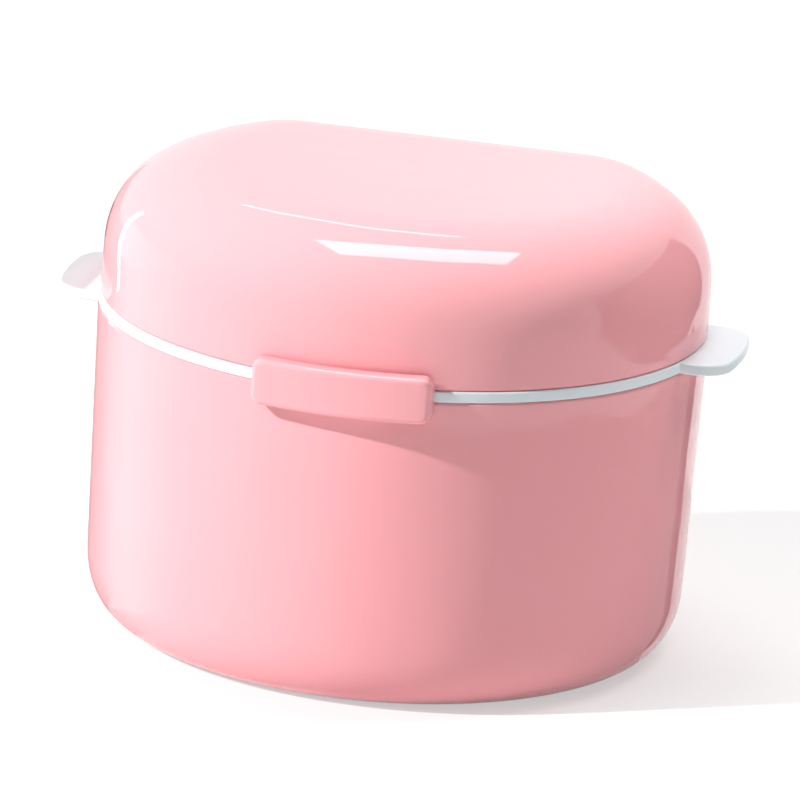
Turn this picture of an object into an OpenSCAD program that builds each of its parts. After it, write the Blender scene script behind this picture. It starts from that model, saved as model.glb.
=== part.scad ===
// Denture case: a D-shaped cup with a hinged domed lid, a lift-out strainer
// basket whose rim is clamped between them, and a small front clasp.
// Millimetres. +Z up, front towards -Y. The origin is on the underside of the
// cup, below the centre of its round front.

/* [Plan] */
// Radius of the round front and sides at the rim
case_r = 44; // [40:0.5:56]
// Radius of the two back corners
corner_r = 18; // [18:0.5:22]
// Wall thickness of the cup and the lid
wall = 2; // [1.4:0.1:2.6]

/* [Cup] */
// Height of the cup up to its rim
cup_h = 45.9; // [38:0.1:60]
// Slope of the cup's wall, in degrees
cup_draft = 0.9; // [0:0.1:2]
// Width of the rounding at the foot of the cup
foot_w = 7.3; // [3:0.1:9]
// Height of the rounding at the foot of the cup
foot_h = 9.5; // [4:0.1:12]

/* [Basket] */
// Thickness of the basket's rim and ears
flange_t = 1.6; // [1.2:0.1:2.4]
// Wall thickness of the basket's bowl
bowl_t = 1.4; // [1:0.1:2]
// Clearance between the bowl and the cup's inner wall
bowl_gap = 0.4; // [0.2:0.1:1]
// Slope of the bowl's wall, in degrees
bowl_draft = 2.5; // [1:0.5:4]
// Height of the free space below the bowl
sump_h = 6; // [5:0.5:10]
// Radius at the foot of the bowl
bowl_round = 7; // [3:0.5:8]
// Diameter of the drain holes
drain_d = 4; // [3:0.2:5]
// Spacing of the drain holes
drain_pitch = 7.4; // [7:0.2:10]
// Width of the drain slots in the bowl's wall
slot_w = 2.4; // [1.6:0.2:3]
// Height of the drain slots
slot_h = 16; // [8:1:20]
// Number of drain slots round the front and sides
slot_count = 14; // [6:2:18]
// Spacing of the three drain slots in the back
back_slot_pitch = 14.6; // [8:0.2:16]
// Reach of the two ears from the centre
ear_r = 49.7; // [48:0.1:62]
// Length of an ear along the rim
ear_len = 22.4; // [16:0.2:28]
// Radius of an ear's corners
ear_round = 5; // [2:0.5:6]
// Angle of the ears ahead of the centre line, in degrees
ear_turn = 2.2; // [0:0.1:8]

/* [Lid] */
// Height of the lid
lid_h = 20.4; // [18:0.1:28]
// Slope of the lid's wall, in degrees
lid_draft = 1.2; // [0:0.1:2]
// Step of the lid's rim inside the basket's rim
lid_step = 0.2; // [0:0.1:0.6]
// Width of the lid's rounded shoulder
shoulder_w = 17.2; // [10:0.1:17.2]
// Height of the lid's rounded shoulder
shoulder_h = 14.1; // [8:0.1:16]
// Fullness of the roundings, where 2 is a plain ellipse
fullness = 2.34; // [2:0.02:3]

/* [Hinge] */
// Length of the hinge
hinge_w = 32; // [24:1:36]
// Number of knuckles
knuckles = 5; // [3:2:7]
// Outer radius of a knuckle
knuckle_r = 2.4; // [2.1:0.1:2.8]
// Distance of the hinge axis behind the flat back
hinge_out = 3.3; // [3.1:0.1:4.5]
// Radius of the hinge pin
pin_r = 1; // [0.8:0.1:1.3]
// Side gap between neighbouring knuckles
knuckle_gap = 0.3; // [0.2:0.05:0.5]
// Running clearance round a pin
pin_fit = 0.05; // [0.03:0.01:0.09]

/* [Clasp] */
// Width of the clasp
clasp_w = 25.2; // [22:0.2:30]
// Reach of the clasp below the cup's rim
clasp_drop = 2.6; // [2.4:0.1:4]
// Reach of the clasp above the basket's rim
clasp_rise = 2.3; // [2:0.1:3]
// Height of the clasp's face off the cup
clasp_proud = 2.7; // [2.6:0.1:3.6]
// Gap between the clasp's back and the cup
clasp_gap = 0.3; // [0.2:0.05:0.4]
// Thickness of the clasp's face
clasp_t = 1.1; // [0.8:0.1:1.2]
// Radius of the clasp's barrel and of the cup's two lugs
barrel_r = 1.1; // [1:0.05:1.2]
// Radius of the clasp's two pins
clasp_pin_r = 0.5; // [0.4:0.05:0.6]
// Distance of the clasp's axis off the cup
barrel_out = 0.3; // [0.2:0.05:0.5]
// Clearance round the barrel and the lugs
barrel_gap = 0.2; // [0.15:0.05:0.3]

/* [Hidden] */
$fn = 96;
pink = [0.96, 0.72, 0.75];
white = [0.97, 0.98, 0.99];
steel = [0.72, 0.73, 0.75];
far = 1000;
over = 1;
tiny = 0.05;
curve_steps = 10;

// Plan: the round front runs on to where a line from the centre in this
// direction, four across and three back, passes through the corner's centre
corner_dir = [0.8, 0.6];
corner_x = (case_r - corner_r) * corner_dir[0];
corner_y = (case_r - corner_r) * corner_dir[1];
corner_a = atan2(corner_dir[1], corner_dir[0]);
back_y = corner_y + corner_r;

// Heights
rim_z = cup_h;
lid_z = cup_h + flange_t;
top_z = lid_z + lid_h;
bowl_z = wall + sump_h;

// Basket
bowl_in = wall + bowl_gap;
bowl_flat = bowl_in + bowl_round + bowl_t + (rim_z - bowl_z) * tan(bowl_draft);
slot_z = (bowl_z + bowl_round + rim_z) / 2;
drain_reach = floor(case_r / drain_pitch);

// Hinge
hinge_y = back_y + hinge_out;
hinge_z = rim_z + flange_t / 2;
web_h = 3 * knuckle_r;
web_clear = 0.4;
knuckle_pitch = hinge_w / knuckles;

// Clasp: heights, radii and the places along its axis
clasp_z0 = rim_z - clasp_drop;
clasp_z1 = lid_z + clasp_rise;
clasp_in_r = case_r + clasp_gap;
clasp_out_r = case_r + clasp_proud;
clasp_pocket_r = clasp_out_r - clasp_t;
clasp_edge_r = 0.8;
clasp_end_t = 1.2;
barrel_y = case_r + barrel_out;
barrel_z = clasp_z0 + barrel_r;
barrel_half = 4.4;
lug_w = 2.4;
lug_x0 = barrel_half + barrel_gap;
lug_x1 = lug_x0 + lug_w;
pin_in = 1.5;
ledge_t = 0.9;
catch_play = 0.15;
catch_t = 0.75;
catch_half = 9;
catch_out = 0.55;

// ---- Functions ----------------------------------------------------------

// A quarter of a rounding: from w inside at height 0 to 0 inside at height h
function rounding(w, h, power) =
    [for (i = [0 : curve_steps])
        let (a = 90 * i / curve_steps)
        [w * (1 - pow(sin(a), 2 / power)), h * (1 - pow(cos(a), 2 / power))]];

// To a thousandth, so that shapes that meet have the very same numbers
function snap(value) = round(value * 1000) / 1000;

function reversed(list) = [for (i = [len(list) - 1 : -1 : 0]) list[i]];

// Points of an arc about c, from angle a0 to a1
function arc(c, r, a0, a1, steps = 8) =
    [for (i = [0 : steps])
        let (a = a0 + (a1 - a0) * i / steps)
        c + r * [cos(a), sin(a)]];

// Where the line from p touches a circle about c; side is 1 or -1
function touch(p, c, r, side) =
    let (d = c - p,
         a = atan2(d[1], d[0]) - side * asin(r / norm(d)))
    c + side * r * [sin(a), -cos(a)];

// Depth of a point of the plan inside the outline of the rim
function depth_in(x, y) =
    y * corner_x > abs(x) * corner_y && abs(x) > corner_x
        ? corner_r - norm([abs(x) - corner_x, y - corner_y])
        : min(back_y - y, case_r - norm([x, y]));

// ---- Shared shapes ------------------------------------------------------

// Carries a section round the D-shaped plan. A section's points are
// [depth inside the outline, height].
module around(section) {
    points = [for (p = section) [snap(p[0]), snap(p[1])]];
    module turned(r)
        rotate_extrude()
            polygon([for (p = points) [r - min(p[0], r), p[1]]]);

    // The round front and sides
    intersection() {
        turned(case_r);
        upright([[0, 0], corner_dir, [corner_dir[0], -1], [-corner_dir[0], -1],
                 [-corner_dir[0], corner_dir[1]]]);
    }
    // The two back corners
    for (side = [0, 1])
        mirror([side, 0, 0])
            translate([corner_x, corner_y, 0])
                intersection() {
                    turned(corner_r);
                    upright([[0, 0], corner_dir, [corner_dir[0], 1], [0, 1]]);
                }
    // The flat back
    translate([-corner_x, 0, 0])
        rotate([90, 0, 90])
            linear_extrude(2 * corner_x)
                polygon([for (p = points) [back_y - min(p[0], corner_r), p[1]]]);
}

// A tall prism over an outline of the plan
module upright(outline)
    linear_extrude(400, center = true)
        polygon([for (p = outline) 100 * p]);

// The flat middle of a floor, between the centre and the two back corners
module middle(z, t)
    translate([0, 0, z])
        linear_extrude(t)
            polygon([[0, 0], [corner_x, corner_y], [-corner_x, corner_y]]);

// A section turned about the centre, kept in front and within half of x = 0
module front_band(section, half)
    intersection() {
        rotate_extrude()
            polygon(section);
        translate([-half, -far, 0])
            cube([2 * half, far, far]);
    }

// A rod along X between two places
module rod_x(x0, x1, y, z, r)
    translate([x0, y, z])
        rotate([0, 90, 0])
            cylinder(r = r, h = x1 - x0);

// Every second knuckle from the given one, with its web down to foot or up
// to it on the wall, and its bore
module hinge_half(first, foot, rim, bore)
    for (i = [first : 2 : knuckles - 1]) {
        x0 = -hinge_w / 2 + i * knuckle_pitch + knuckle_gap / 2;
        x1 = x0 + knuckle_pitch - knuckle_gap;
        axis = [hinge_y, hinge_z];
        side = foot[1] < rim ? 1 : -1;
        difference() {
            union() {
                rod_x(x0, x1, hinge_y, hinge_z, knuckle_r);
                translate([x0, 0, 0])
                    rotate([90, 0, 90])
                        linear_extrude(x1 - x0)
                            polygon([foot, touch(foot, axis, knuckle_r, side), axis,
                                     [back_y + web_clear, rim], [foot[0], rim]]);
            }
            rod_x(x0 - over, x1 + over, hinge_y, hinge_z, bore);
        }
    }

// ---- Cup ----------------------------------------------------------------

module cup_wall() {
    slope = tan(cup_draft);
    outer = [for (p = rounding(foot_w, foot_h, fullness))
                [p[0] + (rim_z - p[1]) * slope, p[1]]];
    inner = [for (p = rounding(max(foot_w - wall, tiny), foot_h - wall, fullness))
                [wall + p[0] + (rim_z - wall - p[1]) * slope, wall + p[1]]];
    around(concat([[far, 0]], outer, [[0, rim_z], [wall, rim_z]],
                  reversed(inner), [[far, wall]]));
    middle(0, wall);
}

// Two lugs on the cup's front that carry the clasp's pins
module clasp_lugs()
    for (side = [0, 1])
        mirror([side, 0, 0])
            difference() {
                union() {
                    rod_x(lug_x0, lug_x1, -barrel_y, barrel_z, barrel_r);
                    translate([lug_x0, -barrel_y, barrel_z - barrel_r])
                        cube([lug_w, barrel_out + wall, 2 * barrel_r]);
                }
                rod_x(lug_x0 - over, lug_x1 + over, -barrel_y, barrel_z, clasp_pin_r);
            }

module cup()
    color(pink) {
        difference() {
            cup_wall();
            rod_x(-lug_x0, lug_x0, -barrel_y, barrel_z, barrel_r + barrel_gap);
        }
        clasp_lugs();
        hinge_half(0, [back_y - wall / 2, rim_z - web_h], rim_z, pin_r);
    }

// ---- Lid ----------------------------------------------------------------

module lid_wall() {
    slope = tan(lid_draft);
    outer = [for (p = rounding(shoulder_w, shoulder_h, fullness))
                [lid_step + p[0] + (lid_h - p[1]) * slope, top_z - p[1]]];
    inner = [for (p = rounding(shoulder_w, shoulder_h, fullness))
                [lid_step + wall + p[0] * (shoulder_w - wall) / shoulder_w
                    + (lid_h - p[1]) * slope,
                 top_z - wall - p[1] * (shoulder_h - wall) / shoulder_h]];
    around(concat([[far, top_z]], outer, [[lid_step, lid_z], [lid_step + wall, lid_z]],
                  reversed(inner), [[far, top_z - wall]]));
    middle(top_z - wall, wall);
}

// Rib on the lid's front that the clasp's ledge holds down
module lid_catch() {
    z1 = clasp_z1 - ledge_t - catch_play;
    root_r = case_r - lid_step - wall / 2;
    tip_r = clasp_in_r + catch_out;
    front_band([[root_r, z1 - catch_t], [clasp_in_r, z1 - catch_t],
                [tip_r, z1 - catch_t / 3], [tip_r, z1], [root_r, z1]], catch_half);
}

module lid()
    color(pink) {
        lid_wall();
        lid_catch();
        hinge_half(1, [back_y - lid_step - wall / 2, lid_z + web_h], lid_z,
                   pin_r + pin_fit);
    }

// ---- Basket -------------------------------------------------------------

module bowl_and_rim() {
    slope = tan(bowl_draft);
    outer = [for (p = rounding(bowl_round, bowl_round, 2))
                [bowl_in + p[0] + (rim_z - bowl_z - p[1]) * slope, bowl_z + p[1]]];
    inner = [for (p = rounding(bowl_round - bowl_t / 2, bowl_round - bowl_t / 2, 2))
                [bowl_in + bowl_t + p[0] + (rim_z - bowl_z - p[1]) * slope,
                 bowl_z + bowl_t + p[1]]];
    around(concat([[far, bowl_z]], outer, [[bowl_in, rim_z], [0, rim_z], [0, lid_z]],
                  [[bowl_in + bowl_t, lid_z]], reversed(inner),
                  [[far, bowl_z + bowl_t]]));
    middle(bowl_z, bowl_t);
}

// Lifting ears: tabs that end in an arc about the centre of the plan
module ears() {
    half = ear_len / 2;
    round_y = half - ear_round;
    round_x = sqrt(pow(ear_r - ear_round, 2) - pow(round_y, 2));
    round_a = atan2(round_y, round_x);
    for (side = [0, 1])
        mirror([side, 0, 0])
            rotate([0, 0, -ear_turn])
                translate([0, 0, rim_z])
                    linear_extrude(flange_t)
                        difference() {
                            polygon(concat([[0, -half]],
                                arc([round_x, -round_y], ear_round, -90, -round_a),
                                arc([0, 0], ear_r, -round_a, round_a),
                                arc([round_x, round_y], ear_round, round_a, 90),
                                [[0, half]]));
                            circle(r = case_r - bowl_in);
                        }
}

// Round drain holes on a square grid over the flat of the bowl's floor
module drain_holes()
    for (i = [-drain_reach : drain_reach], j = [-drain_reach : drain_reach])
        let (x = i * drain_pitch, y = j * drain_pitch)
            if (depth_in(x, y) > bowl_flat + drain_d / 2)
                translate([x, y, bowl_z - over])
                    cylinder(d = drain_d, h = bowl_t + 2 * over, $fn = 24);

// One upright drain slot through a wall that faces the X direction
module drain_slot()
    rotate([0, 90, 0])
        linear_extrude(4 * bowl_t + 2 * bowl_round, center = true) {
            for (side = [-1, 1])
                translate([side * (slot_h - slot_w) / 2, 0])
                    circle(d = slot_w, $fn = 24);
            square([slot_h - slot_w, slot_w], center = true);
        }

module strainer_basket()
    color(white) {
        difference() {
            bowl_and_rim();
            drain_holes();
            for (i = [0 : slot_count - 1])
                rotate([0, 0, 180 - corner_a + (i + 0.5) * (180 + 2 * corner_a) / slot_count])
                    translate([case_r - bowl_in, 0, slot_z])
                        drain_slot();
            for (x = [-1, 0, 1])
                translate([x * back_slot_pitch, back_y - bowl_in, slot_z])
                    rotate([0, 0, 90])
                        drain_slot();
        }
        ears();
    }

// ---- Pins ---------------------------------------------------------------

module hinge_pin()
    color(steel)
        rod_x(-hinge_w / 2 + knuckle_gap, hinge_w / 2 - knuckle_gap,
              hinge_y, hinge_z, pin_r);

module clasp_pins()
    color(steel)
        for (side = [0, 1])
            mirror([side, 0, 0])
                rod_x(barrel_half - pin_in, lug_x1, -barrel_y, barrel_z, clasp_pin_r);

// ---- Clasp --------------------------------------------------------------

module front_clasp() {
    e = clasp_edge_r;
    b = barrel_r;
    face = concat(
        arc([clasp_in_r + b, clasp_z0 + b], b, 180, 270),
        arc([clasp_out_r - e, clasp_z0 + e], e, 270, 360),
        arc([clasp_out_r - e, clasp_z1 - e], e, 0, 90),
        [[clasp_in_r, clasp_z1]]);
    pocket = [[case_r - over, clasp_z0 - over], [clasp_pocket_r, clasp_z0 - over],
              [clasp_pocket_r, clasp_z1 - ledge_t], [case_r - over, clasp_z1 - ledge_t]];
    color(pink)
        difference() {
            union() {
                difference() {
                    front_band(face, clasp_w / 2);
                    front_band(pocket, clasp_w / 2 - clasp_end_t);
                }
                rod_x(-barrel_half, barrel_half, -barrel_y, barrel_z, barrel_r);
                intersection() {
                    front_band(face, barrel_half);
                    translate([-barrel_half, -barrel_y - far, clasp_z0])
                        cube([2 * barrel_half, far, 2 * barrel_r]);
                }
            }
            for (side = [0, 1])
                mirror([side, 0, 0]) {
                    rod_x(lug_x0 - barrel_gap, lug_x1 + barrel_gap,
                          -barrel_y, barrel_z, barrel_r + barrel_gap);
                    rod_x(barrel_half - pin_in - barrel_gap, barrel_half + over,
                          -barrel_y, barrel_z, clasp_pin_r + pin_fit);
                }
        }
}

cup();
lid();
strainer_basket();
hinge_pin();
front_clasp();
clasp_pins();
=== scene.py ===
"""Denture case: a pink moulded cup and domed lid, the white rim and ears of the
strainer basket between them, and a pink clasp across the front."""

import math

import bpy
from mathutils import Matrix, Vector


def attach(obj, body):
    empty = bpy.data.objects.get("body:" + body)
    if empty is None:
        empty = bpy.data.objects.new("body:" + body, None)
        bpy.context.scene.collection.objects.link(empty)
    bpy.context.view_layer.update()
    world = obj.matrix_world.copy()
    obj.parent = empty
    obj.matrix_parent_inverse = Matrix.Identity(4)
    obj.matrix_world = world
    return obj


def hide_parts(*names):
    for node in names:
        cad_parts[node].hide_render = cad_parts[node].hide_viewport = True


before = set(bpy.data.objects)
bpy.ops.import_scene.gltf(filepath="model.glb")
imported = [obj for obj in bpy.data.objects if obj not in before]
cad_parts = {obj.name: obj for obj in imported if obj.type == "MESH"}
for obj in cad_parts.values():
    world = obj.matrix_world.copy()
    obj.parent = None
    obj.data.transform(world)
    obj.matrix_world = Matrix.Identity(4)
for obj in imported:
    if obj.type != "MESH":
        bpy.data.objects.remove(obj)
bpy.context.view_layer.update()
bpy.ops.object.select_all(action="DESELECT")

MM = 0.001

# ---- Sizes, in millimetres ---------------------------------------------------

# Plan: a round front whose ends run into two corners, four across and three back
CASE_R = 44.0
CORNER_R = 18.0
ACROSS, BACKWARD = 0.8, 0.6
CORNER_X = (CASE_R - CORNER_R) * ACROSS
CORNER_Y = (CASE_R - CORNER_R) * BACKWARD
CORNER_A = math.degrees(math.atan2(BACKWARD, ACROSS))
BACK_Y = CORNER_Y + CORNER_R
WALL = 2.0

# Heights
RIM_Z = 45.9
FLANGE_T = 1.6
LID_Z = RIM_Z + FLANGE_T
LID_H = 20.4
TOP_Z = LID_Z + LID_H

# Cup
CUP_SLOPE = math.tan(math.radians(0.9))
FOOT_W, FOOT_H = 7.3, 9.5
FULLNESS = 2.34
RIM_ROUND = 0.45

# Lid
LID_SLOPE = math.tan(math.radians(1.2))
LID_STEP = 0.2
SHOULDER_W, SHOULDER_H = 17.2, 14.1

# Basket
BOWL_SLOPE = math.tan(math.radians(2.5))
BOWL_IN, BOWL_T, BOWL_ROUND, BOWL_Z = 2.4, 1.4, 7.0, 8.0
CIRCLE = 2
FLANGE_ROUND, MOUTH_ROUND = 0.3, 0.5
DRAIN_R, DRAIN_PITCH, DRAIN_ROWS, DRILL_L = 2.0, 7.4, 5, 6
SLOT_W, SLOT_H, SLOT_COUNT, BACK_SLOT_PITCH, MILL_L = 2.4, 16.0, 14, 14.6, 12
EAR_R, EAR_LEN, EAR_ROUND, EAR_TURN = 49.699, 22.4, 5.0, 2.2
EAR_ROOT, EAR_INSET, EAR_EDGE = CASE_R * 0.8, 0.008, 0.35

# Hinge
HINGE_W, KNUCKLES, KNUCKLE_R, KNUCKLE_GAP = 32.0, 5, 2.399, 0.3
HINGE_Y, HINGE_Z = BACK_Y + 3.3, RIM_Z + FLANGE_T / 2
PIN_R, PIN_FIT = 1.0, 0.05
WEB_H, WEB_GAP, NECK_Y, KNUCKLE_ROUND = 7.2, 0.05, BACK_Y + 0.4, 0.2

# Clasp
CLASP_W, CLASP_Z0, CLASP_Z1 = 25.2, RIM_Z - 2.6, LID_Z + 2.3
CLASP_IN_R, CLASP_OUT_R, CLASP_T = 44.3, 46.695, 1.1
CLASP_ROUND, CLASP_CORNER, FRONT_BAND = 0.8, 1.4, 0.2
BAR_D, BAR_IN, SIDE_ROOM = 10, 1, 0.3
LEDGE_T, END_T = 0.9, 1.2
BARREL_R, BARREL_Y, BARREL_Z = 1.1, -44.3, CLASP_Z0 + 1.1
BARREL_HALF, BARREL_GAP, BARREL_ROUND = 4.4, 0.2, 0.12
RIB_SINK, RIB_LIFT, RIB_DROP = 0.3, 0.35, 0.02
CLASP_PIN_R, CLASP_PIN_IN, LUG_W, LUG_ROOT = 0.5, 1.7, 2.4, CASE_R - 1
CATCH_Z, CATCH_T, CATCH_HALF, CATCH_R = CLASP_Z1 - LEDGE_T - 0.15, 0.75, 9.0, 44.85

# Half angle in degrees and steps of each sweep across the front, which is cut to
# its piece's width afterwards
CATCH_SWEEP, POCKET_SWEEP, CLASP_SWEEP = (13.5, 18), (16.5, 18), (17.2, 10)

# How far a cutter reaches past what it cuts, and where there is no room for that
PAST, BARELY = 1, 0.01

# Steps of the plan, of the large roundings and of the small curves
CORNER_STEPS, FRONT_STEPS, BACK_STEPS = 20, 112, 8
FOOT_STEPS, SHOULDER_STEPS, BOWL_STEPS = 26, 34, 16
LIP_STEPS, EAR_STEPS, NOSE_STEPS, KNUCKLE_STEPS = 5, 14, 15, 32
CUP_RUNGS, LID_RUNGS, BOWL_RUNGS = 8, 4, 6
BORE_SIDES, FINE_BORE_SIDES, DRAIN_SIDES, SLOT_SIDES = 48, 24, 28, 24

# Steps of the rounded edges
PRISM_EDGE_STEPS, EAR_EDGE_STEPS, CLASP_EDGE_STEPS = 3, 4, 6

# Faces that meet at less than this many degrees are shaded as one
SMOOTH_ANGLE = 35

# Points nearer to each other than the first are one, and a point nearer to a
# plane than the second lies on it
SAME, ON = 0.0005, 0.001


# ---- Modelling tools ---------------------------------------------------------


def only(pieces):
    """Selects these pieces alone, with the first as the active one."""
    bpy.ops.object.select_all(action="DESELECT")
    for piece in pieces:
        piece.select_set(True)
    bpy.context.view_layer.objects.active = pieces[0]


def select_where(kind, test):
    """Selects the edited piece's vertices, edges or faces whose place passes the
    test. An edge or face passes if all its vertices do."""
    piece = bpy.context.object
    bpy.ops.mesh.select_mode(type=kind)
    bpy.ops.mesh.select_all(action="DESELECT")
    bpy.ops.object.mode_set(mode="OBJECT")
    mesh = piece.data
    near = [test(v.co / MM) for v in mesh.vertices]
    if kind == "VERT":
        for v in mesh.vertices:
            v.select = near[v.index]
    else:
        for part in mesh.edges if kind == "EDGE" else mesh.polygons:
            part.select = all(near[i] for i in part.vertices)
    bpy.ops.object.mode_set(mode="EDIT")


def single_vertex(name, place):
    """A small plane merged to one vertex, left in edit mode."""
    bpy.ops.object.select_all(action="DESELECT")
    bpy.ops.mesh.primitive_plane_add(size=MM, location=place * MM)
    piece = bpy.context.object
    piece.name = piece.data.name = name
    bpy.ops.object.transform_apply()
    bpy.ops.object.mode_set(mode="EDIT")
    bpy.ops.mesh.select_mode(type="VERT")
    bpy.ops.mesh.select_all(action="SELECT")
    bpy.ops.mesh.merge(type="CENTER")
    return piece


def extrude_line(places):
    """Extrudes the selected vertex through the places after the first."""
    for here, there in zip(places, places[1:]):
        bpy.ops.mesh.extrude_vertices_move(
            TRANSFORM_OT_translate={"value": (there - here) * MM}
        )


def closed_line(name, places):
    """A closed line through the places, selected and left in edit mode."""
    piece = single_vertex(name, places[0])
    extrude_line(places + places[:1])
    bpy.ops.mesh.select_all(action="SELECT")
    bpy.ops.mesh.remove_doubles(threshold=SAME * MM)
    bpy.ops.mesh.select_all(action="SELECT")
    return piece


def close_up():
    """Merges doubles, caps open loops and turns the faces outward."""
    bpy.ops.mesh.select_all(action="SELECT")
    bpy.ops.mesh.remove_doubles(threshold=SAME * MM)
    bpy.ops.mesh.fill_holes(sides=0)
    bpy.ops.mesh.normals_make_consistent(inside=False)
    bpy.ops.object.mode_set(mode="OBJECT")


def spin(degrees, centre, steps):
    """Spins the selection anticlockwise, seen from above, about an upright axis."""
    bpy.ops.mesh.spin(
        steps=steps,
        angle=-math.radians(degrees),
        center=(centre[0] * MM, centre[1] * MM, 0),
        axis=(0, 0, 1),
    )


def sweep_round_plan(name, section):
    """Carries a section of (depth inside the outline, height) round the D-shaped
    plan: it starts at the right end of the flat back and is spun round the right
    corner, the front and the left corner, then drawn straight across the back."""
    places = [Vector((CORNER_X, BACK_Y - depth, z)) for depth, z in section]
    piece = single_vertex(name, places[0])
    extrude_line(places)
    bpy.ops.mesh.select_all(action="SELECT")
    spin(-(90 - CORNER_A), (CORNER_X, CORNER_Y), CORNER_STEPS)
    spin(-(180 + 2 * CORNER_A), (0, 0), FRONT_STEPS)
    spin(-(90 - CORNER_A), (-CORNER_X, CORNER_Y), CORNER_STEPS)
    for _ in range(BACK_STEPS):
        bpy.ops.mesh.extrude_region_move(
            TRANSFORM_OT_translate={"value": (2 * CORNER_X / BACK_STEPS * MM, 0, 0)}
        )
    close_up()
    return piece


def sweep_front(name, section, half_width, sweep):
    """Spins a closed section of (radius, height) across the front, through a half
    angle to either side, and cuts it square at half_width."""
    half_angle, steps = sweep
    start = math.radians(half_angle)
    piece = closed_line(
        name,
        [Vector((-r * math.sin(start), -r * math.cos(start), z)) for r, z in section],
    )
    spin(2 * math.degrees(start), (0, 0), steps)
    close_up()
    bpy.ops.object.mode_set(mode="EDIT")
    for side in (-1, 1):
        bpy.ops.mesh.select_all(action="SELECT")
        bpy.ops.mesh.bisect(
            plane_co=(side * half_width * MM, 0, 0),
            plane_no=(side, 0, 0),
            clear_outer=True,
            use_fill=True,
        )
    bpy.ops.object.mode_set(mode="OBJECT")
    return piece


def prism(name, places, axis, ends, edge, segments):
    """Fills a closed line, draws it out along X or Z, axis 0 or 2, from one end to
    the other, and rounds the edges of both ends."""
    piece = closed_line(name, places)
    bpy.ops.mesh.edge_face_add()
    way = [0.0, 0.0, 0.0]
    way[axis] = (ends[1] - ends[0]) * MM
    bpy.ops.mesh.extrude_region_move(TRANSFORM_OT_translate={"value": way})
    bpy.ops.mesh.select_all(action="SELECT")
    bpy.ops.mesh.normals_make_consistent(inside=False)
    for end in ends:
        select_where("EDGE", lambda p: abs(p[axis] - end) < ON)
        bpy.ops.mesh.bevel(offset=edge * MM, segments=segments, affect="EDGES")
    bpy.ops.object.mode_set(mode="OBJECT")
    return piece


def prism_across(name, outline, x0, x1, edge):
    """An outline of (y, z) drawn out along X."""
    places = [Vector((x0, y, z)) for y, z in outline]
    return prism(name, places, 0, (x0, x1), edge, PRISM_EDGE_STEPS)


def combine(piece, other, operation):
    """Joins, cuts or crosses piece with another, which is used up."""
    cut = piece.modifiers.new(operation.lower(), "BOOLEAN")
    cut.operation = operation
    cut.solver = "EXACT"
    cut.object = other
    only([piece])
    bpy.ops.object.modifier_apply(modifier=cut.name)
    bpy.data.objects.remove(other)


def bore(piece, radius, x0, x1, y, z, sides=BORE_SIDES):
    """Drills a round bore along X."""
    bpy.ops.object.select_all(action="DESELECT")
    bpy.ops.mesh.primitive_cylinder_add(
        vertices=sides,
        radius=radius * MM,
        depth=(x1 - x0) * MM,
        location=((x0 + x1) / 2 * MM, y * MM, z * MM),
        rotation=(0, math.pi / 2, 0),
    )
    drill = bpy.context.object
    bpy.ops.object.transform_apply()
    combine(piece, drill, "DIFFERENCE")


def gather(name, pieces):
    """Several pieces that don't touch, as one."""
    only(pieces)
    bpy.ops.object.join()
    pieces[0].name = pieces[0].data.name = name
    return pieces[0]


def finish_surface(piece):
    """Smooth shading, with sharp edges left and the large faces kept flat."""
    only([piece])
    bpy.ops.object.shade_smooth_by_angle(angle=math.radians(SMOOTH_ANGLE))
    weigh = piece.modifiers.new("weigh", "WEIGHTED_NORMAL")
    weigh.keep_sharp = True
    weigh.weight = 60
    bpy.ops.object.modifier_apply(modifier=weigh.name)


# ---- Outlines and sections ---------------------------------------------------


def around(centre, radius, angle):
    """The point of a circle at an angle in radians."""
    return (
        centre[0] + radius * math.cos(angle),
        centre[1] + radius * math.sin(angle),
    )


def arc(centre, radius, start, turn, steps):
    """Points of a circle from start through turn, in radians."""
    return [around(centre, radius, start + turn * i / steps) for i in range(steps + 1)]


def quarter(depth, z, radius, start, way):
    """A quarter circle of a section about (depth, z) from start degrees,
    anticlockwise where way is 1 and clockwise where it is -1."""
    return [
        around((depth, z), radius, math.radians(start + way * 90 * i / LIP_STEPS))
        for i in range(LIP_STEPS + 1)
    ]


def rounding(width, height, power, steps):
    """A quarter of a rounding, from (width, 0) to (0, height). Power 2 is round,
    and more is fuller."""
    points = []
    for i in range(steps + 1):
        a = math.radians(90 * i / steps)
        points.append(
            (
                width * (1 - math.sin(a) ** (2 / power)),
                height * (1 - math.cos(a) ** (2 / power)),
            )
        )
    return points


def rungs(a, b, count):
    """The points between a and b, without both."""
    return [
        (a[0] + (b[0] - a[0]) * i / count, a[1] + (b[1] - a[1]) * i / count)
        for i in range(1, count)
    ]


def on_side(side, near, far):
    """The span from near to far of the middle, on the left (-1) or the right (1)."""
    return sorted((side * near, side * far))


def barrel_outline(way, root):
    """Outline of a nose round the clasp's axis that looks to the front (-1) or to
    the back (1), closed through the two points of its root."""
    nose = []
    for i in range(NOSE_STEPS + 1):
        a = math.radians(180 * i / NOSE_STEPS)
        nose.append(
            (
                BARREL_Y + way * BARREL_R * math.sin(a),
                BARREL_Z + BARREL_R * math.cos(a),
            )
        )
    return nose + root


# ---- Hinge knuckles ----------------------------------------------------------


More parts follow.
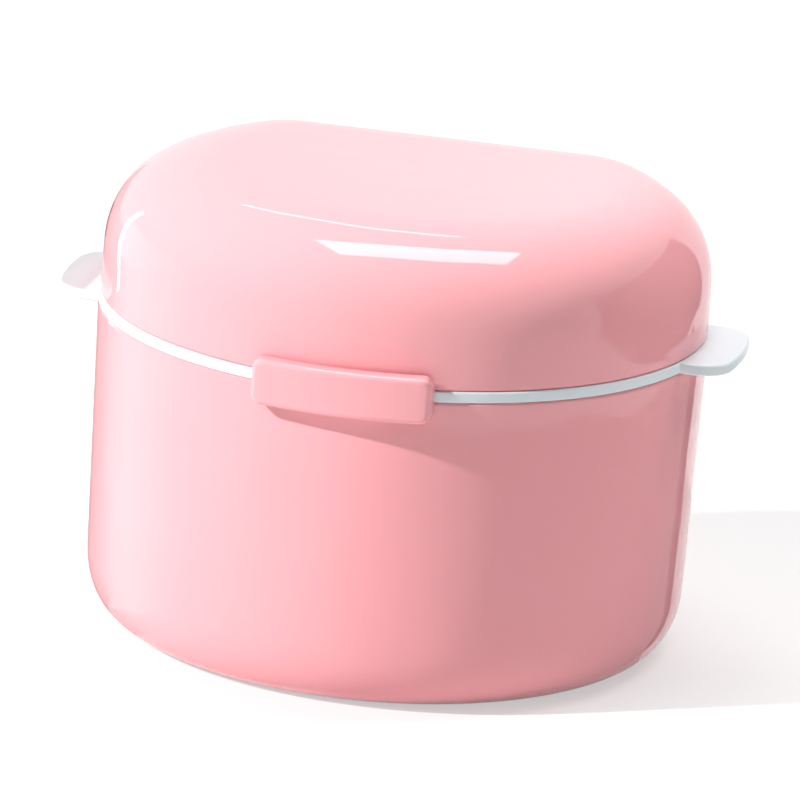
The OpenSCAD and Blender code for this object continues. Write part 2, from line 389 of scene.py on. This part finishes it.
def knuckle_outline(foot, rim, side):
    """Outline of a knuckle and its web: from the foot on the wall along the
    tangent, round the barrel and back to the wall at the rim."""
    to_axis = Vector((HINGE_Y - foot[0], HINGE_Z - foot[1]))
    a = math.atan2(to_axis.y, to_axis.x) - side * math.asin(KNUCKLE_R / to_axis.length)
    touch = (
        HINGE_Y + side * KNUCKLE_R * math.sin(a),
        HINGE_Z - side * KNUCKLE_R * math.cos(a),
    )
    start = math.atan2(touch[1] - HINGE_Z, touch[0] - HINGE_Y)
    end = math.atan2(rim - HINGE_Z, NECK_Y - HINGE_Y)
    turn = (end - start) % (2 * math.pi)
    if side < 0:
        turn -= 2 * math.pi
    barrel = arc((HINGE_Y, HINGE_Z), KNUCKLE_R, start, turn, KNUCKLE_STEPS)
    return [foot] + barrel + [(NECK_Y, rim), (foot[0], rim)]


def knuckle_row(first, foot, rim, side):
    """Every second knuckle from the given one."""
    outline = knuckle_outline(foot, rim, side)
    pitch = HINGE_W / KNUCKLES
    row = []
    for i in range(first, KNUCKLES, 2):
        x0 = -HINGE_W / 2 + i * pitch + KNUCKLE_GAP / 2
        x1 = x0 + pitch - KNUCKLE_GAP
        row.append(prism_across(f"knuckle_{i}", outline, x0, x1, KNUCKLE_ROUND))
    return gather("knuckle_row", row)


# ---- Cup ---------------------------------------------------------------------


def make_cup():
    outer = [
        (d + (RIM_Z - z) * CUP_SLOPE, z)
        for d, z in rounding(FOOT_W, FOOT_H, FULLNESS, FOOT_STEPS)
    ]
    inner = [
        (WALL + d + (RIM_Z - WALL - z) * CUP_SLOPE, WALL + z)
        for d, z in rounding(FOOT_W - WALL, FOOT_H - WALL, FULLNESS, FOOT_STEPS)
    ][::-1]
    r = RIM_ROUND
    lip = quarter(r, RIM_Z - r, r, 180, -1) + quarter(WALL - r, RIM_Z - r, r, 90, -1)
    cup = sweep_round_plan(
        "cup_body",
        outer
        + rungs(outer[-1], lip[0], CUP_RUNGS)
        + lip
        + rungs(lip[-1], inner[0], CUP_RUNGS)
        + inner,
    )
    foot = (BACK_Y - WALL / 2, RIM_Z - WEB_H)
    combine(cup, knuckle_row(0, foot, RIM_Z - WEB_GAP, 1), "UNION")
    bore(cup, PIN_R, -HINGE_W, HINGE_W, HINGE_Y, HINGE_Z)

    # Two lugs that carry the clasp, and the groove that its barrel turns in
    lug_x = BARREL_HALF + BARREL_GAP
    bore(cup, BARREL_R + BARREL_GAP, -lug_x, lug_x, BARREL_Y, BARREL_Z)
    outline = barrel_outline(
        -1, [(-LUG_ROOT, BARREL_Z - BARREL_R), (-LUG_ROOT, BARREL_Z + BARREL_R)]
    )
    for side in (-1, 1):
        x0, x1 = on_side(side, lug_x, lug_x + LUG_W)
        combine(cup, prism_across("lug", outline, x0, x1, BARREL_ROUND), "UNION")
        bore(
            cup,
            CLASP_PIN_R,
            x0 - PAST,
            x1 + BARELY,
            BARREL_Y,
            BARREL_Z,
            FINE_BORE_SIDES,
        )
    return cup


# ---- Lid ---------------------------------------------------------------------


def make_lid():
    shoulder = rounding(SHOULDER_W, SHOULDER_H, FULLNESS, SHOULDER_STEPS)
    outer = [
        (LID_STEP + d + (LID_H - drop) * LID_SLOPE, TOP_Z - drop)
        for d, drop in shoulder
    ]
    inner = [
        (
            LID_STEP + WALL + d * (1 - WALL / SHOULDER_W) + (LID_H - drop) * LID_SLOPE,
            TOP_Z - WALL - drop * (1 - WALL / SHOULDER_H),
        )
        for d, drop in shoulder
    ][::-1]
    r = RIM_ROUND
    lip = quarter(LID_STEP + r, LID_Z + r, r, 180, 1) + quarter(
        LID_STEP + WALL - r, LID_Z + r, r, 270, 1
    )
    lid = sweep_round_plan(
        "lid_dome",
        outer
        + rungs(outer[-1], lip[0], LID_RUNGS)
        + lip
        + rungs(lip[-1], inner[0], LID_RUNGS)
        + inner,
    )
    foot = (BACK_Y - LID_STEP - WALL / 2, LID_Z + WEB_H)
    combine(lid, knuckle_row(1, foot, LID_Z + WEB_GAP, -1), "UNION")
    bore(lid, PIN_R + PIN_FIT, -HINGE_W, HINGE_W, HINGE_Y, HINGE_Z)

    # The rib that the clasp's ledge holds down
    root = CASE_R - LID_STEP - WALL / 2
    rib = sweep_front(
        "lid_rib",
        [
            (root, CATCH_Z - CATCH_T),
            (CLASP_IN_R, CATCH_Z - CATCH_T),
            (CATCH_R, CATCH_Z - CATCH_T / 3),
            (CATCH_R, CATCH_Z),
            (root, CATCH_Z),
        ],
        CATCH_HALF,
        CATCH_SWEEP,
    )
    combine(lid, rib, "UNION")
    return lid


# ---- Basket ------------------------------------------------------------------


def depth_inside(x, y):
    """Depth of a point of the plan inside the outline of the rim."""
    if y * CORNER_X > abs(x) * CORNER_Y and abs(x) > CORNER_X:
        return CORNER_R - math.hypot(abs(x) - CORNER_X, y - CORNER_Y)
    return min(BACK_Y - y, CASE_R - math.hypot(x, y))


def ear_outline():
    """An ear on the right: a tab whose end follows the round of the case."""
    half = EAR_LEN / 2
    y = half - EAR_ROUND
    x = math.sqrt((EAR_R - EAR_ROUND) ** 2 - y**2)
    lean = math.atan2(y, x)
    right_angle = math.pi / 2
    points = [(EAR_ROOT, -half)]
    points += arc((x, -y), EAR_ROUND, -right_angle, -lean + right_angle, EAR_STEPS)
    points += arc((0, 0), EAR_R, -lean, 2 * lean, EAR_STEPS)[1:-1]
    points += arc((x, y), EAR_ROUND, lean, right_angle - lean, EAR_STEPS)
    points += [(EAR_ROOT, half)]
    turn = math.radians(-EAR_TURN)
    return [
        (
            px * math.cos(turn) - py * math.sin(turn),
            px * math.sin(turn) + py * math.cos(turn),
        )
        for px, py in points
    ]


def drain_drills():
    """An upright drill for each drain hole of the floor."""
    drills = []
    floor_in = BOWL_IN + BOWL_ROUND + BOWL_T + (RIM_Z - BOWL_Z) * BOWL_SLOPE + DRAIN_R
    for i in range(-DRAIN_ROWS, DRAIN_ROWS + 1):
        for j in range(-DRAIN_ROWS, DRAIN_ROWS + 1):
            x, y = i * DRAIN_PITCH, j * DRAIN_PITCH
            if depth_inside(x, y) > floor_in:
                bpy.ops.object.select_all(action="DESELECT")
                bpy.ops.mesh.primitive_cylinder_add(
                    vertices=DRAIN_SIDES,
                    radius=DRAIN_R * MM,
                    depth=DRILL_L * MM,
                    location=(x * MM, y * MM, BOWL_Z * MM),
                )
                drills.append(bpy.context.object)
                bpy.ops.object.transform_apply()
    return drills


def slot_mills():
    """A mill with round ends for each upright slot of the wall, square to it."""
    reach = CASE_R - BOWL_IN
    stations = []
    for i in range(SLOT_COUNT):
        a = 180 - CORNER_A + (i + 0.5) * (180 + 2 * CORNER_A) / SLOT_COUNT
        stations.append((*around((0, 0), reach, math.radians(a)), a))
    for i in (-1, 0, 1):
        stations.append((i * BACK_SLOT_PITCH, BACK_Y - BOWL_IN, 90))
    mills = []
    for x, y, a in stations:
        bpy.ops.object.select_all(action="DESELECT")
        bpy.ops.mesh.primitive_cylinder_add(
            vertices=SLOT_SIDES, radius=SLOT_W / 2 * MM, depth=MILL_L * MM
        )
        mill = bpy.context.object
        bpy.ops.object.mode_set(mode="EDIT")
        for sign in (-1, 1):
            select_where("VERT", lambda p: p.x * sign > ON)
            bpy.ops.transform.translate(
                value=(sign * (SLOT_H - SLOT_W) / 2 * MM, 0, 0)
            )
        bpy.ops.object.mode_set(mode="OBJECT")
        mill.rotation_euler = (0, math.pi / 2, math.radians(a))
        mill.location = (x * MM, y * MM, (BOWL_Z + BOWL_ROUND + RIM_Z) / 2 * MM)
        bpy.ops.object.transform_apply()
        mills.append(mill)
    return mills


def make_basket():
    outer = [
        (BOWL_IN + d + (RIM_Z - BOWL_Z - h) * BOWL_SLOPE, BOWL_Z + h)
        for d, h in rounding(BOWL_ROUND, BOWL_ROUND, CIRCLE, BOWL_STEPS)
    ]
    small = BOWL_ROUND - BOWL_T / 2
    inner = [
        (BOWL_IN + BOWL_T + d + (RIM_Z - BOWL_Z - h) * BOWL_SLOPE, BOWL_Z + BOWL_T + h)
        for d, h in rounding(small, small, CIRCLE, BOWL_STEPS)
    ][::-1]
    r, m = FLANGE_ROUND, MOUTH_ROUND
    neck = (BOWL_IN, RIM_Z)
    edge = quarter(r, RIM_Z + r, r, 270, -1) + quarter(r, LID_Z - r, r, 180, -1)
    mouth = quarter(BOWL_IN + BOWL_T - m, LID_Z - m, m, 90, -1)
    basket = sweep_round_plan(
        "basket_bowl",
        outer
        + rungs(outer[-1], neck, BOWL_RUNGS)
        + [neck]
        + edge
        + mouth
        + rungs(mouth[-1], inner[0], BOWL_RUNGS)
        + inner,
    )
    cutters = gather("drain_cutters", drain_drills() + slot_mills())
    combine(basket, cutters, "DIFFERENCE")
    z0, z1 = RIM_Z + EAR_INSET, LID_Z - EAR_INSET
    right = ear_outline()
    left = [(-x, y) for x, y in right][::-1]
    for outline in (right, left):
        places = [Vector((x, y, z0)) for x, y in outline]
        ear = prism("ear", places, 2, (z0, z1), EAR_EDGE, EAR_EDGE_STEPS)
        combine(basket, ear, "UNION")
    return basket


# ---- Clasp -------------------------------------------------------------------


def make_clasp():
    """A curved bar with rounded corners and edges, hollowed from behind so that a
    ledge stays at the top and a wall at each end, with a barrel along its lower
    edge."""
    bpy.ops.object.select_all(action="DESELECT")
    bpy.ops.mesh.primitive_cube_add(size=MM)
    bar = bpy.context.object
    bar.scale = (CLASP_W, BAR_D, CLASP_Z1 - CLASP_Z0)
    bar.location = Vector((0, -CLASP_OUT_R + BAR_IN, (CLASP_Z0 + CLASP_Z1) / 2)) * MM
    bpy.ops.object.transform_apply()
    bpy.ops.object.mode_set(mode="EDIT")
    for side in (-1, 1):
        for z in (CLASP_Z0, CLASP_Z1):
            select_where(
                "EDGE",
                lambda p: abs(p.x - side * CLASP_W / 2) < ON and abs(p.z - z) < ON,
            )
            bpy.ops.mesh.bevel(
                offset=CLASP_CORNER * MM, segments=CLASP_EDGE_STEPS, affect="EDGES"
            )
    bpy.ops.object.mode_set(mode="OBJECT")

    # The bar's front and back are round like the case
    clasp = sweep_front(
        "clasp_plate",
        [
            (CLASP_OUT_R, CLASP_Z0 - PAST),
            (CLASP_OUT_R, CLASP_Z1 + PAST),
            (CLASP_IN_R, CLASP_Z1 + PAST),
            (CLASP_IN_R, CLASP_Z0 - PAST),
        ],
        CLASP_W / 2 + SIDE_ROOM,
        CLASP_SWEEP,
    )
    combine(clasp, bar, "INTERSECT")

    # The border of the round front
    bpy.ops.object.mode_set(mode="EDIT")
    select_where("FACE", lambda p: math.hypot(p.x, p.y) > CLASP_OUT_R - FRONT_BAND)
    bpy.ops.mesh.region_to_loop()
    bpy.ops.mesh.bevel(
        offset=CLASP_ROUND * MM,
        segments=CLASP_EDGE_STEPS,
        affect="EDGES",
        clamp_overlap=False,
    )
    bpy.ops.object.mode_set(mode="OBJECT")

    pocket_r = CLASP_OUT_R - CLASP_T
    pocket = sweep_front(
        "pocket",
        [
            (CASE_R - PAST, CLASP_Z0 - PAST),
            (pocket_r, CLASP_Z0 - PAST),
            (pocket_r, CLASP_Z1 - LEDGE_T),
            (CASE_R - PAST, CLASP_Z1 - LEDGE_T),
        ],
        CLASP_W / 2 - END_T,
        POCKET_SWEEP,
    )
    combine(clasp, pocket, "DIFFERENCE")

    # The barrel along the lower edge, with a rib that joins it to the face
    outline = barrel_outline(
        1,
        [
            (-pocket_r - RIB_SINK, BARREL_Z - BARREL_R + RIB_LIFT),
            (-pocket_r - RIB_SINK, BARREL_Z + BARREL_R - RIB_DROP),
        ],
    )
    barrel = prism_across("barrel", outline, -BARREL_HALF, BARREL_HALF, BARREL_ROUND)
    combine(clasp, barrel, "UNION")

    # Room for the cup's lugs, and a bore for a pin in each end of the barrel
    for side in (-1, 1):
        lug_x = BARREL_HALF + BARELY
        x0, x1 = on_side(side, lug_x, lug_x + LUG_W + 2 * BARREL_GAP)
        bore(clasp, BARREL_R + BARREL_GAP, x0, x1, BARREL_Y, BARREL_Z)
        x0, x1 = on_side(side, BARREL_HALF - CLASP_PIN_IN, BARREL_HALF + PAST)
        bore(
            clasp,
            CLASP_PIN_R + PIN_FIT,
            x0,
            x1,
            BARREL_Y,
            BARREL_Z,
            FINE_BORE_SIDES,
        )
    return clasp


# ---- Materials ---------------------------------------------------------------


def hex_colour(code):
    """An sRGB hex colour as linear RGBA."""

    def linear(c):
        return c / 12.92 if c <= 0.04045 else ((c + 0.055) / 1.055) ** 2.4

    return tuple(linear(int(code[i : i + 2], 16) / 255) for i in (0, 2, 4)) + (1.0,)


WHITE = hex_colour("FFFFFF")


def add_node(tree, kind, inputs=None, **settings):
    """Adds a node with its settings. An input, by name or number, gets a value or
    is linked to another node's output."""
    node = tree.nodes.new(kind)
    for name, value in settings.items():
        setattr(node, name, value)
    for name, value in (inputs or {}).items():
        if isinstance(value, bpy.types.NodeSocket):
            tree.links.new(value, node.inputs[name])
        else:
            node.inputs[name].default_value = value
    return node


def new_material(name):
    material = bpy.data.materials.new(name)
    material.use_nodes = True
    material.node_tree.nodes.clear()
    return material, material.node_tree


def polished_polypropylene(name, code, pale_code, roughness, translucency):
    """Injection-moulded polypropylene from a polished mould. The eye gets a glossy
    skin whose reflections waver a little, because the skin sinks by up to a tenth
    of a millimetre over the thick places, a faint cloudiness of the pigment, and
    a soft glow where light enters thin edges."""
    material, tree = new_material(name)
    place = add_node(tree, "ShaderNodeTexCoord").outputs["Object"]

    # Clouds of pigment, about 30 mm across
    clouds = add_node(
        tree, "ShaderNodeTexNoise", {"Vector": place, "Scale": 1 / 0.030, "Detail": 2.0}
    )
    pigment = add_node(
        tree,
        "ShaderNodeMix",
        {
            "Factor": clouds.outputs["Fac"],
            "A": hex_colour(code),
            "B": hex_colour(pale_code),
        },
        data_type="RGBA",
    )

    # The mould's polish, patches of about 8 mm that are a little less glossy
    patches = add_node(
        tree, "ShaderNodeTexNoise", {"Vector": place, "Scale": 1 / 0.008, "Detail": 4.0}
    )
    polish = add_node(
        tree,
        "ShaderNodeMapRange",
        {
            "Value": patches.outputs["Fac"],
            "To Min": roughness * 0.85,
            "To Max": roughness * 1.2,
        },
    )

    # Sink marks, about 10 mm apart and up to a tenth deep, under a fine peel of
    # about 0.6 mm
    sinks = add_node(
        tree, "ShaderNodeTexNoise", {"Vector": place, "Scale": 1 / 0.010, "Detail": 0.0}
    )
    peel = add_node(
        tree,
        "ShaderNodeTexNoise",
        {"Vector": place, "Scale": 1 / 0.0006, "Detail": 1.0},
    )
    low = add_node(
        tree,
        "ShaderNodeBump",
        {"Height": sinks.outputs["Fac"], "Strength": 1.0, "Distance": 0.00012},
    )
    skin = add_node(
        tree,
        "ShaderNodeBump",
        {
            "Height": peel.outputs["Fac"],
            "Normal": low.outputs["Normal"],
            "Strength": 1.0,
            "Distance": 0.0000006,
        },
    )

    # Light goes in by a millimetre or so, red farthest
    shader = add_node(
        tree,
        "ShaderNodeBsdfPrincipled",
        {
            "Base Color": pigment.outputs["Result"],
            "Roughness": polish.outputs["Result"],
            "Normal": skin.outputs["Normal"],
            "IOR": 1.49,
            "Subsurface Weight": translucency,
            "Subsurface Radius": (1.0, 0.45, 0.4),
            "Subsurface Scale": 0.0012,
        },
    )
    add_node(tree, "ShaderNodeOutputMaterial", {"Surface": shader.outputs["BSDF"]})
    return material


def drawn_steel():
    """Stainless wire, drawn through a die. The eye gets a bright metal with fine
    lines along its length, 0.08 mm apart."""
    material, tree = new_material("drawn_stainless_wire")
    place = add_node(tree, "ShaderNodeTexCoord").outputs["Object"]
    along = add_node(
        tree, "ShaderNodeMapping", {"Vector": place, "Scale": (0.02, 1, 1)}
    )
    lines = add_node(
        tree,
        "ShaderNodeTexNoise",
        {"Vector": along.outputs["Vector"], "Scale": 1 / 0.00008, "Detail": 2.0},
    )
    rough = add_node(
        tree,
        "ShaderNodeMapRange",
        {"Value": lines.outputs["Fac"], "To Min": 0.22, "To Max": 0.38},
    )
    grooves = add_node(
        tree,
        "ShaderNodeBump",
        {"Height": lines.outputs["Fac"], "Strength": 1.0, "Distance": 0.000004},
    )
    shader = add_node(
        tree,
        "ShaderNodeBsdfPrincipled",
        {
            "Base Color": hex_colour("C4C6C9"),
            "Metallic": 1.0,
            "Roughness": rough.outputs["Result"],
            "Normal": grooves.outputs["Normal"],
        },
    )
    add_node(tree, "ShaderNodeOutputMaterial", {"Surface": shader.outputs["BSDF"]})
    return material


def give_material(piece, material):
    piece.data.materials.clear()
    piece.data.materials.append(material)
    for face in piece.data.polygons:
        face.material_index = 0


# ---- The case ----------------------------------------------------------------

pink = polished_polypropylene("pink_polypropylene", "FCABB1", "FCB0B6", 0.045, 0.12)
white = polished_polypropylene("white_polypropylene", "E6F1F5", "E9F3F7", 0.3, 0.1)
steel = drawn_steel()

for piece, material, body, node, slot in (
    (make_cup(), pink, "base", "cup", "pink_moulding"),
    (make_lid(), pink, "lid_body", "lid", "pink_moulding"),
    (make_basket(), white, "base", "strainer_basket", "white_moulding"),
    (make_clasp(), pink, "clasp_body", "front_clasp", "pink_moulding"),
):
    finish_surface(piece)
    give_material(piece, material)
    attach(piece, body)
    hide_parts(node)

for node in ("hinge_pin", "clasp_pins"):
    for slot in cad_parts[node].material_slots:
        slot.material = steel

# ---- Floor and room ----------------------------------------------------------

# The room's light, and how bright it shows
WORLD, SHOWN = 0.14, 1.0
FLOOR_SIZE = 6

# The shown floor's share of plain white, at two distances in metres
NEAR, NEAR_SHARE = 0.25, 0.5
FAR, FAR_SHARE = 0.7, 1.0


def seen_directly(tree):
    """1 for rays from the camera and for mirrored and refracted ones, else 0."""
    path = add_node(tree, "ShaderNodeLightPath")
    mirrored = add_node(
        tree,
        "ShaderNodeMath",
        {0: path.outputs["Is Glossy Ray"], 1: path.outputs["Is Transmission Ray"]},
        operation="MAXIMUM",
    )
    return add_node(
        tree,
        "ShaderNodeMath",
        {0: path.outputs["Is Camera Ray"], 1: mirrored.outputs[0]},
        operation="MAXIMUM",
    ).outputs[0]


def matt_paper():
    """White paper. The eye and the object's gloss get it with a light shadow near
    the object and plain white farther off, and what it throws back up is the light
    of plain paper."""
    material, tree = new_material("matt_white_paper")
    plain = add_node(tree, "ShaderNodeBsdfDiffuse", {"Color": hex_colour("EDEDED")})
    glow = add_node(tree, "ShaderNodeEmission", {"Color": WHITE, "Strength": SHOWN})
    fresh = add_node(tree, "ShaderNodeBsdfDiffuse", {"Color": WHITE})
    place = add_node(tree, "ShaderNodeTexCoord").outputs["Object"]
    away = add_node(tree, "ShaderNodeVectorMath", {0: place}, operation="LENGTH")
    share = add_node(
        tree,
        "ShaderNodeMapRange",
        {
            "Value": away.outputs["Value"],
            "From Min": NEAR,
            "From Max": FAR,
            "To Min": NEAR_SHARE,
            "To Max": FAR_SHARE,
        },
    )
    shown = add_node(
        tree,
        "ShaderNodeMixShader",
        {0: share.outputs["Result"], 1: fresh.outputs[0], 2: glow.outputs[0]},
    )
    surface = add_node(
        tree,
        "ShaderNodeMixShader",
        {0: seen_directly(tree), 1: plain.outputs[0], 2: shown.outputs[0]},
    )
    add_node(tree, "ShaderNodeOutputMaterial", {"Surface": surface.outputs[0]})
    return material


def light_room():
    """A room that is white to look at and in the gloss, but throws little light."""
    world = bpy.data.worlds.new("studio")
    bpy.context.scene.world = world
    world.use_nodes = True
    tree = world.node_tree
    tree.nodes.clear()
    bright = add_node(tree, "ShaderNodeBackground", {"Color": WHITE, "Strength": SHOWN})
    dim = add_node(tree, "ShaderNodeBackground", {"Color": WHITE, "Strength": WORLD})
    surface = add_node(
        tree,
        "ShaderNodeMixShader",
        {0: seen_directly(tree), 1: dim.outputs[0], 2: bright.outputs[0]},
    )
    add_node(tree, "ShaderNodeOutputWorld", {"Surface": surface.outputs[0]})


bpy.ops.object.select_all(action="DESELECT")
bpy.ops.mesh.primitive_plane_add(size=FLOOR_SIZE, location=(0, 0, 0))
floor = bpy.context.object
floor.name = "floor"
floor.data.materials.append(matt_paper())
light_room()

# ---- Cards that show in the gloss --------------------------------------------


def flat_sheet(name, corners):
    """A flat sheet with the given corners in millimetres, which no ray but a
    mirrored one meets."""
    piece = closed_line(name, [Vector(corner) for corner in corners])
    bpy.ops.mesh.edge_face_add()
    bpy.ops.object.mode_set(mode="OBJECT")
    piece.visible_camera = piece.visible_diffuse = piece.visible_shadow = False
    piece.visible_transmission = False
    return piece


def lying(z, *points):
    """Corners of a sheet that lies level."""
    return [(x, y, z) for x, y in points]


def upright(a, b, z0, z1):
    """Corners of a sheet that stands on the line between two points of the plan."""
    return [(*a, z0), (*a, z1), (*b, z1), (*b, z0)]


def angular_fade(tree, surface, corner, from_az, to_az):
    """Brings a surface in from clear between two azimuths, in degrees from the
    front to the right, round a point of the floor in millimetres."""
    place = add_node(tree, "ShaderNodeTexCoord").outputs["Object"]
    off = add_node(
        tree,
        "ShaderNodeVectorMath",
        {0: place, 1: Vector(corner) * MM},
        operation="SUBTRACT",
    )
    split = add_node(tree, "ShaderNodeSeparateXYZ", {0: off.outputs[0]})
    forward = add_node(
        tree, "ShaderNodeMath", {0: split.outputs["Y"], 1: -1}, operation="MULTIPLY"
    )
    azimuth = add_node(
        tree,
        "ShaderNodeMath",
        {0: split.outputs["X"], 1: forward.outputs[0]},
        operation="ARCTAN2",
    )
    ramp = add_node(
        tree,
        "ShaderNodeMapRange",
        {
            "Value": azimuth.outputs[0],
            "From Min": math.radians(from_az),
            "From Max": math.radians(to_az),
        },
        interpolation_type="SMOOTHSTEP",
    )
    clear = add_node(tree, "ShaderNodeBsdfTransparent")
    return add_node(
        tree,
        "ShaderNodeMixShader",
        {0: ramp.outputs["Result"], 1: clear.outputs[0], 2: surface.outputs[0]},
    )


def card(name, corners, code, fade=None, strength=1.0):
    """A card whose colour shows in the object's gloss only."""
    piece = flat_sheet(name, corners)
    material, tree = new_material(name + "_paint")
    surface = add_node(
        tree, "ShaderNodeEmission", {"Color": hex_colour(code), "Strength": strength}
    )
    if fade:
        surface = angular_fade(tree, surface, *fade)
    add_node(tree, "ShaderNodeOutputMaterial", {"Surface": surface.outputs[0]})
    piece.data.materials.append(material)


# Dark cards keep the white room out of the gloss on the right, where the pink
# stays deep, and set off the outline at both sides. A bright one on the left
# gives the broad pale band. Overlapping cards are a tenth of a millimetre apart
GLOW = 1.7
GLOW_Z, EDGE_Z, CARD_Z = 0.3, 0.4, 0.5
GLOW_FADE = ((-12, -34, 0), -70, -98)

card(
    "front_card",
    lying(
        CARD_Z,
        (-60, -20),
        (-90, -172),
        (60, -165),
        (124, -124),
        (165, -40),
        (165, 60),
        (140, 160),
        (43.3, -7.6),
    ),
    "ACAAAA",
    ((1, -24, 0), -18, 10),
)
card(
    "front_card_edge",
    lying(EDGE_Z, (43.3, -9), (141, 162), (112, 166), (43.7, -5)),
    "5A5656",
)
card("right_card", upright((143, 165), (240, 0), CARD_Z, 130), "DAD8D8")
card("right_card_edge", upright((128, 190), (262, -38), EDGE_Z, 150), "5A5656")
card(
    "left_glow",
    lying(GLOW_Z, (-40, -46), (-330, -135), (-330, 200), (-40, 40)),
    "FFFFFF",
    GLOW_FADE,
    GLOW,
)
card(
    "left_glow_upright",
    upright((-300, -130), (-300, 200), GLOW_Z, 105),
    "FFFFFF",
    GLOW_FADE,
    GLOW,
)
card(
    "left_card",
    lying(CARD_Z, (-31, -40), (-330, 30), (-300, 350), (-60, 350), (-31, 0)),
    "A8A4A4",
    ((-31, -30, 0), -106, -142),
)
card("left_card_upright", upright((-190, 96), (-110, 180), CARD_Z, 60), "B0ACAC")
card("ear_card", upright((-60, 30), (-46, 30), 44, 52), "302E2E")

# A net between the key light and the left ear's top, so that its white shows
# against the white paper. It does nothing but dim the light
NET_LEFT, NET_FORWARD, NET_UP = 10.8, 6.5, 8.2
NET_CLEAR = 0.15

net = flat_sheet(
    "ear_net",
    [
        (-max(x, CASE_R) - NET_LEFT, y - NET_FORWARD, LID_Z + NET_UP)
        for x, y in ear_outline()
    ],
)
net.visible_glossy = False
net.visible_shadow = True
netting, tree = new_material("black_net")
thin = add_node(
    tree, "ShaderNodeBsdfTransparent", {"Color": (NET_CLEAR, NET_CLEAR, NET_CLEAR, 1)}
)
add_node(tree, "ShaderNodeOutputMaterial", {"Surface": thin.outputs[0]})
net.data.materials.append(netting)

# ---- Lamps, in metres --------------------------------------------------------

MIDDLE = Vector((0, 0, 0.035))
KEY_AZ, KEY_EL, KEY_FAR, KEY = -59, 33, 3.0, 0.97
KICKER = 0.3509


def lamp(name, place, aim, size, energy, turn=0.0):
    """A lamp of the given width and depth that isn't in the picture."""
    data = bpy.data.lights.new(name, "AREA")
    data.shape = "RECTANGLE"
    data.size, data.size_y = size
    data.energy = energy
    light = bpy.data.objects.new(name, data)
    bpy.context.scene.collection.objects.link(light)
    face = (Vector(aim) - Vector(place)).to_track_quat("-Z", "Y").to_matrix()
    turned = face @ Matrix.Rotation(math.radians(turn), 3, "Z")
    light.matrix_world = Matrix.Translation(place) @ turned.to_4x4()
    light.visible_camera = False
    return light


def soft_box(name, place, aim, size, brightness, turn=0.0):
    """A lamp that shows in the gloss, with its own brightness, 1 for white."""
    lamp(name, place, aim, size, brightness * 4 * size[0] * size[1], turn)


def bare_lamp(name, place, aim, size, level):
    """A lamp that doesn't show in the gloss. White that faces it at its aim is lit
    to the given level, 1 for white."""
    distance = (Vector(aim) - Vector(place)).length
    light = lamp(name, place, aim, size, level * 4 * math.pi * distance**2)
    light.visible_glossy = False


def towards(azimuth, elevation, distance):
    """A place seen from the object's middle, in degrees from the front to the
    right and up."""
    az, el = math.radians(azimuth), math.radians(elevation)
    way = Vector(
        (math.sin(az) * math.cos(el), -math.cos(az) * math.cos(el), math.sin(el))
    )
    return MIDDLE + distance * way


bare_lamp("key", towards(KEY_AZ, KEY_EL, KEY_FAR), MIDDLE, (0.1, 0.1), KEY)
soft_box("overhead", (0.014, 0.16, 1.05), (0.014, 0.16, 0), (0.64, 0.355), 5.6, 15)
soft_box(
    "back_strip", (-0.31, 0.965, 1.05), (-0.31, 0.965, 0), (0.63, 0.055), 3.2, -31.4
)
bare_lamp("right_kicker", (0.12, 0.04, 0.19), (0.048, 0, 0.047), (0.08, 0.08), KICKER)
soft_box(
    "left_strip", (-0.1537, 0.0685, 0.0585), (0, -0.05, 0.0585), (0.007, 0.093), 5.0
)

# ---- Camera ------------------------------------------------------------------

# The photograph's camera: turned round the object, lifted, rolled and far off.
# Angles are in radians, places in millimetres, the focal length in pixels of the
# picture, and how far the camera sees in metres
AZ, EL, ROLL = 0.176, 0.284, 0.076
DISTANCE, SIDEWAYS, UPWARD = 825.7, -1.024, -0.186
AIM = Vector((0, -3.8, 34))
FOCAL, PICTURE_W, SENSOR_W = 5742.5, 800, 36
SEES_TO = 20

camera_data = bpy.data.cameras.new("camera")
camera = bpy.data.objects.new("camera", camera_data)
bpy.context.scene.collection.objects.link(camera)
bpy.context.scene.camera = camera
camera_data.sensor_width = SENSOR_W
camera_data.lens = FOCAL / PICTURE_W * SENSOR_W
camera_data.clip_end = SEES_TO
back = Vector((math.sin(AZ) * math.cos(EL), -math.cos(AZ) * math.cos(EL), math.sin(EL)))
level = Vector((math.cos(AZ), math.sin(AZ), 0))
upward = back.cross(level)
right = math.cos(ROLL) * level + math.sin(ROLL) * upward
up = -math.sin(ROLL) * level + math.cos(ROLL) * upward
eye = AIM + DISTANCE * back - SIDEWAYS * right - UPWARD * up
camera.matrix_world = Matrix(
    (
        (right.x, up.x, back.x, eye.x * MM),
        (right.y, up.y, back.y, eye.y * MM),
        (right.z, up.z, back.z, eye.z * MM),
        (0, 0, 0, 1),
    )
)

bpy.context.scene.view_settings.view_transform = "Standard"
